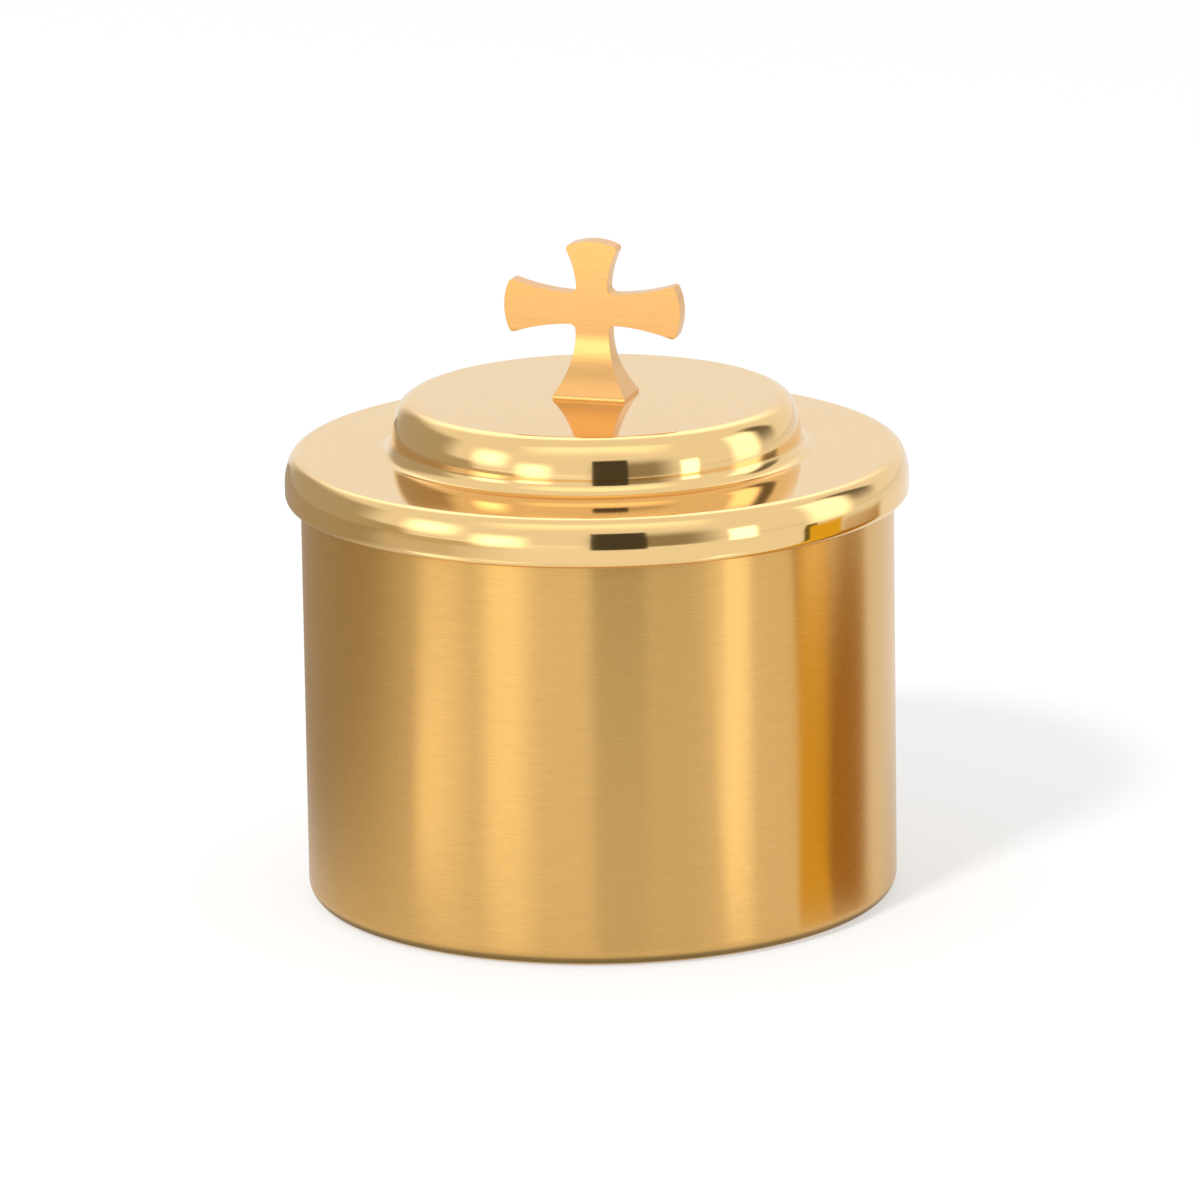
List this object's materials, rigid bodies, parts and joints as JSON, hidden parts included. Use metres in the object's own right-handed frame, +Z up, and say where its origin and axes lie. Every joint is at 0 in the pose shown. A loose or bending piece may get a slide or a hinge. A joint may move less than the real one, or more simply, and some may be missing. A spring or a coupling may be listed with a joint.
{
  "type": "pyx",
  "caption": "Round standing pyx: a satin brass cup with a polished lift-off lid, raised in the middle, and a cross finial, for keeping altar breads.",
  "frame": {"origin": "centre of the plane that the cup stands on, on the cup's axis", "axes": "+Z up along the cup's axis, the cross faces -Y and its arms run along X"},
  "size_m": [0.0868, 0.0868, 0.0928],
  "materials": {
    "satin_brass": "satin, brushed round the axis",
    "polished_brass": "polished",
    "cast_brass": "cast and polished, slightly soft",
    "fastener_brass": "machined"
  },
  "bodies": {
    "cup": {"body_cup": "satin_brass"},
    "bezel": {"lid_bezel": "polished_brass"},
    "lid": {"lid_cover": "polished_brass", "cross_finial": "cast_brass", "finial_washer": "fastener_brass", "finial_nut": "fastener_brass"}
  },
  "joints": [
    {"name": "lid_lift", "type": "slide", "parent": "cup", "child": "bezel", "axis": [0, 0, 1], "range_m": [0, 0.06]},
    {"name": "lid_turn", "type": "hinge", "parent": "bezel", "child": "lid", "pos_m": [0, 0, 0.0625], "axis": [0, 0, 1], "continuous": true}
  ]
}
